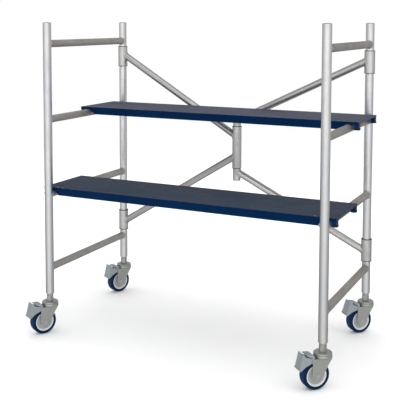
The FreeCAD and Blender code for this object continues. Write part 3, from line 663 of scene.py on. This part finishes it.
def ribbed_rungs(side, x):
    """The rungs with their extruded grip: shallow ribs along the tube, coped to the uprights."""
    bm = bmesh.new()
    ribs, per = 26, 8
    n = ribs * per
    inner = RUNG_R - 0.0020
    for z in RUNG_Z:
        rows = []          # each: (outer front, outer rear, inner rear, inner front)
        outer_f, outer_r, in_f, in_r = [], [], [], []
        stations = 2
        for i in range(n):
            f = 2 * math.pi * i / n
            # flat-topped rib with a rounded valley
            c = 0.5 + 0.5 * math.cos(ribs * f)
            r = RUNG_R - 0.00085 * (1 - min(1.0, c * 1.9)) ** 1.5
            px, pz = r * math.cos(f), r * math.sin(f)
            ye = math.sqrt(UPRIGHT_R ** 2 - px * px)
            outer_f.append(bm.verts.new((x + px, FRONT_Y + ye, z + pz)))
            outer_r.append(bm.verts.new((x + px, REAR_Y - ye, z + pz)))
            qx, qz = inner * math.cos(f), inner * math.sin(f)
            yi = math.sqrt(UPRIGHT_R ** 2 - qx * qx)
            in_f.append(bm.verts.new((x + qx, FRONT_Y + yi, z + qz)))
            in_r.append(bm.verts.new((x + qx, REAR_Y - yi, z + qz)))
        for i in range(n):
            j = (i + 1) % n
            bm.faces.new((outer_f[i], outer_r[i], outer_r[j], outer_f[j]))
            bm.faces.new((in_f[j], in_r[j], in_r[i], in_f[i]))
            bm.faces.new((outer_f[j], in_f[j], in_f[i], outer_f[i]))
            bm.faces.new((outer_r[i], in_r[i], in_r[j], outer_r[j]))
    bmesh.ops.recalc_face_normals(bm, faces=bm.faces)
    for e in bm.edges:
        if len(e.link_faces) == 2 and e.calc_face_angle() > math.radians(50):
            e.smooth = False
    o = link_mesh(side + "_ribbed_rungs", bm, RUNG, side + "_frame")
    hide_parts(side + "_rungs")
    return o


ribbed_rungs("right", RIGHT_X)
ribbed_rungs("left", LEFT_X)


# ---------------------------------------------------------------------------
# softened edges on pressed, cast and moulded CAD parts
# ---------------------------------------------------------------------------
def soften(node, width, segs=2, angle=38):
    o = NODES[node]
    w = o.modifiers.new("weld", "WELD")
    w.merge_threshold = 0.00002
    b = o.modifiers.new("round_edges", "BEVEL")
    b.width = width
    b.segments = segs
    b.limit_method = "ANGLE"
    b.angle_limit = math.radians(angle)
    b.use_clamp_overlap = True
    b.miter_outer = "MITER_ARC"
    wn = o.modifiers.new("even_shading", "WEIGHTED_NORMAL")
    wn.keep_sharp = False
    wn.weight = 80


SOFT = {"_fork": 0.0007, "_brake_pedal": 0.0007, "_hooks": 0.0008, "_side_rails": 0.0005, "_hook_pads": 0.0007}
for n in NODES:
    for tail, w in SOFT.items():
        if n.endswith(tail):
            soften(n, w)


# ---------------------------------------------------------------------------
# floor, world, lights, camera
# ---------------------------------------------------------------------------
def make_floor():
    bm = bmesh.new()
    rings, seg = (0.0, 1.0, 2.5, 5.0, 9.0, 20.0, 60.0), 96
    c = bm.verts.new((0, 0, 0))
    last = None
    for r in rings[1:]:
        cur = [bm.verts.new((r * math.cos(2 * math.pi * i / seg), r * math.sin(2 * math.pi * i / seg), 0)) for i in range(seg)]
        for i in range(seg):
            j = (i + 1) % seg
            if last is None:
                bm.faces.new((c, cur[i], cur[j]))
            else:
                bm.faces.new((last[i], cur[i], cur[j], last[j]))
        last = cur
    me = bpy.data.meshes.new("studio_floor")
    bm.to_mesh(me)
    bm.free()
    o = bpy.data.objects.new("studio_floor", me)
    o.location = (0.0, 0.0, -0.0006)
    scene.collection.objects.link(o)
    m = Mat("pale_floor")
    soft = m.noise(m.obj, 0.8, 2.0, 0.5)
    m.set(Base_Color=m.mix(m.rng(soft, 0.3, 0.7, 0.0, 1.0), (0.955, 0.955, 0.95), (0.970, 0.970, 0.970)), Roughness=0.85)
    m.b.inputs["Specular IOR Level"].default_value = 0.15
    # far away the floor melts into the pale backdrop, and from below it lets the camera through
    rad = m.vec("LENGTH", m.obj)
    fade = m.rng(rad, 3.0, 8.0, 0.0, 1.0, "SMOOTHSTEP")
    g = m.t.nodes.new("ShaderNodeNewGeometry")
    fade = m.math("MAXIMUM", fade, g.outputs["Backfacing"])
    tr = m.t.nodes.new("ShaderNodeBsdfTransparent")
    mx = m.t.nodes.new("ShaderNodeMixShader")
    m.t.links.new(fade, mx.inputs[0])
    m.t.links.new(m.b.outputs[0], mx.inputs[1])
    m.t.links.new(tr.outputs[0], mx.inputs[2])
    m.t.links.new(mx.outputs[0], m.out.inputs["Surface"])
    me.materials.append(m.m)
    o.visible_glossy = False
    return o


make_floor()

world = bpy.data.worlds.new("studio")
scene.world = world
world.use_nodes = True
wt = world.node_tree
wt.nodes.clear()
wo = wt.nodes.new("ShaderNodeOutputWorld")
lp = wt.nodes.new("ShaderNodeLightPath")
seen = wt.nodes.new("ShaderNodeBackground")
seen.inputs["Color"].default_value = (1.0, 1.0, 1.0, 1.0)
seen.inputs["Strength"].default_value = 1.0
lit = wt.nodes.new("ShaderNodeBackground")
tcw = wt.nodes.new("ShaderNodeTexCoord")
sep = wt.nodes.new("ShaderNodeSeparateXYZ")
wt.links.new(tcw.outputs["Generated"], sep.inputs[0])
half = wt.nodes.new("ShaderNodeMath")
half.operation = "MULTIPLY_ADD"
wt.links.new(sep.outputs["Z"], half.inputs[0])
half.inputs[1].default_value, half.inputs[2].default_value = 0.5, 0.5
up = wt.nodes.new("ShaderNodeValToRGB")
wt.links.new(half.outputs[0], up.inputs[0])
el = up.color_ramp.elements
el[0].position, el[0].color = 0.0, (0.40, 0.40, 0.405, 1)
el[1].position, el[1].color = 1.0, (1.0, 1.0, 1.0, 1)
for at, c in ((0.44, (0.42, 0.42, 0.425)), (0.51, (0.40, 0.402, 0.41)), (0.64, (0.46, 0.462, 0.47)), (0.80, (0.86, 0.86, 0.86))):
    e = el.new(at)
    e.color = (*c, 1)
wt.links.new(up.outputs["Color"], lit.inputs["Color"])
lit.inputs["Strength"].default_value = 1.45
# what bright metal mirrors: a wide soft wall of light behind the camera, falling away to the sides, towards the floor
# and picking up a little again at the back
flat = wt.nodes.new("ShaderNodeVectorMath")
flat.operation = "MULTIPLY"
wt.links.new(tcw.outputs["Generated"], flat.inputs[0])
flat.inputs[1].default_value = (1.0, 1.0, 0.0)
unit = wt.nodes.new("ShaderNodeVectorMath")
unit.operation = "NORMALIZE"
wt.links.new(flat.outputs["Vector"], unit.inputs[0])
towards = wt.nodes.new("ShaderNodeVectorMath")
towards.operation = "DOT_PRODUCT"
wt.links.new(unit.outputs["Vector"], towards.inputs[0])
towards.inputs[1].default_value = (math.sin(math.radians(20)), -math.cos(math.radians(20)), 0.0)
half2 = wt.nodes.new("ShaderNodeMath")
half2.operation = "MULTIPLY_ADD"
wt.links.new(towards.outputs["Value"], half2.inputs[0])
half2.inputs[1].default_value, half2.inputs[2].default_value = 0.5, 0.5


def grey_ramp(socket, stops):
    n = wt.nodes.new("ShaderNodeValToRGB")
    n.color_ramp.interpolation = "EASE"
    wt.links.new(socket, n.inputs[0])
    els = n.color_ramp.elements
    els[0].position, els[0].color = stops[0][0], (stops[0][1],) * 3 + (1,)
    els[1].position, els[1].color = stops[-1][0], (stops[-1][1],) * 3 + (1,)
    for at, c in stops[1:-1]:
        els.new(at).color = (c, c, c, 1)
    return n.outputs["Color"]


around = grey_ramp(half2.outputs[0], ((0.0, 0.58), (0.12, 0.42), (0.50, 0.50), (0.75, 0.62), (0.91, 0.90), (1.0, 1.02)))
height = grey_ramp(half.outputs[0], ((0.0, 0.58), (0.22, 0.57), (0.33, 0.55), (0.37, 0.64), (0.42, 1.02), (0.47, 1.08), (0.53, 0.97), (0.65, 0.90), (0.80, 0.82), (1.0, 0.95)))
both = wt.nodes.new("ShaderNodeMix")
both.data_type = "RGBA"
both.blend_type = "MULTIPLY"
both.inputs[0].default_value = 1.0
wt.links.new(around, both.inputs[6])
wt.links.new(height, both.inputs[7])
mirror = wt.nodes.new("ShaderNodeBackground")
wt.links.new(both.outputs[2], mirror.inputs["Color"])
mirror.inputs["Strength"].default_value = 1.18
mixg = wt.nodes.new("ShaderNodeMixShader")
wt.links.new(lp.outputs["Is Glossy Ray"], mixg.inputs[0])
wt.links.new(lit.outputs[0], mixg.inputs[1])
wt.links.new(mirror.outputs[0], mixg.inputs[2])
if hasattr(world, "cycles"):
    world.cycles.sampling_method = "NONE"
mixw = wt.nodes.new("ShaderNodeMixShader")
wt.links.new(lp.outputs["Is Camera Ray"], mixw.inputs[0])
wt.links.new(mixg.outputs[0], mixw.inputs[1])
wt.links.new(seen.outputs[0], mixw.inputs[2])
wt.links.new(mixw.outputs[0], wo.inputs["Surface"])


def area(name, loc, target, size, watts, colour=(1, 1, 1)):
    l = bpy.data.lights.new(name, "AREA")
    l.shape = "RECTANGLE"
    l.size, l.size_y = size
    l.energy = watts
    l.color = colour
    o = bpy.data.objects.new(name, l)
    o.location = loc
    o.rotation_euler = (Vector(target) - Vector(loc)).to_track_quat("-Z", "Y").to_euler()
    o.visible_camera = False
    o.visible_glossy = False
    scene.collection.objects.link(o)
    return o


area("key", (1.0, -7.0, 2.5), (0.0, 0.0, 1.1), (5.2, 2.6), 85.0)
area("side", (7.0, 1.6, 2.4), (0.0, 0.0, 1.1), (3.0, 2.4), 34.0, (0.97, 0.98, 1.0))
area("other_side", (-7.0, -1.2, 2.4), (0.0, 0.0, 1.1), (3.0, 2.4), 34.0)
area("back", (-1.0, 7.0, 2.5), (0.0, 0.0, 1.1), (5.0, 2.4), 70.0)

CAM_C = Vector((RIGHT_X + 1.2291, REAR_Y - 4.8578, 1.9055))
YAW, PITCH, ROLL, FPX, CX, CY = 0.456, 0.075, 0.002, 812.09, 198.26, 82.49
fwd = Vector((-math.sin(YAW) * math.cos(PITCH), math.cos(YAW) * math.cos(PITCH), -math.sin(PITCH)))
right = Vector((math.cos(YAW), math.sin(YAW), 0.0))
upv = right.cross(fwd)
cr = right * math.cos(ROLL) + upv * math.sin(ROLL)
cu = -right * math.sin(ROLL) + upv * math.cos(ROLL)
cam = bpy.data.cameras.new("photo_view")
cam.sensor_fit = "AUTO"
cam.sensor_width = 36.0
cam.lens = FPX / 400.0 * 36.0
cam_o = bpy.data.objects.new("photo_view", cam)
scene.collection.objects.link(cam_o)
M = Matrix(((cr.x, cu.x, -fwd.x, CAM_C.x), (cr.y, cu.y, -fwd.y, CAM_C.y), (cr.z, cu.z, -fwd.z, CAM_C.z), (0, 0, 0, 1)))
cam_o.matrix_world = M
cam.clip_start, cam.clip_end = 0.05, 200.0
scene.camera = cam_o


spot = bpy.data.objects.new("photo_spot", None)
spot.location = CAM_C
scene.collection.objects.link(spot)


def shift_here(prop, value):
    """The lens shift belongs to this camera's own place: it reads how far the camera stands from it, and is zero anywhere else."""
    fc = cam.driver_add(prop)
    for mod in list(fc.modifiers):
        fc.modifiers.remove(mod)
    d = fc.driver
    d.type = "SUM"
    v = d.variables.new()
    v.name = "away"
    v.type = "LOC_DIFF"
    v.targets[0].id = cam_o
    v.targets[1].id = spot
    for at, out in ((-1.0, value), (0.05, 0.0)):
        k = fc.keyframe_points.insert(at, out)
        k.interpolation = "CONSTANT"


shift_here("shift_x", (200.0 - CX) / 400.0)
shift_here("shift_y", (CY - 200.0) / 400.0)

scene.view_settings.view_transform = "Standard"
scene.view_settings.look = "None"
scene.view_settings.exposure = 0.0
scene.view_settings.gamma = 1.0
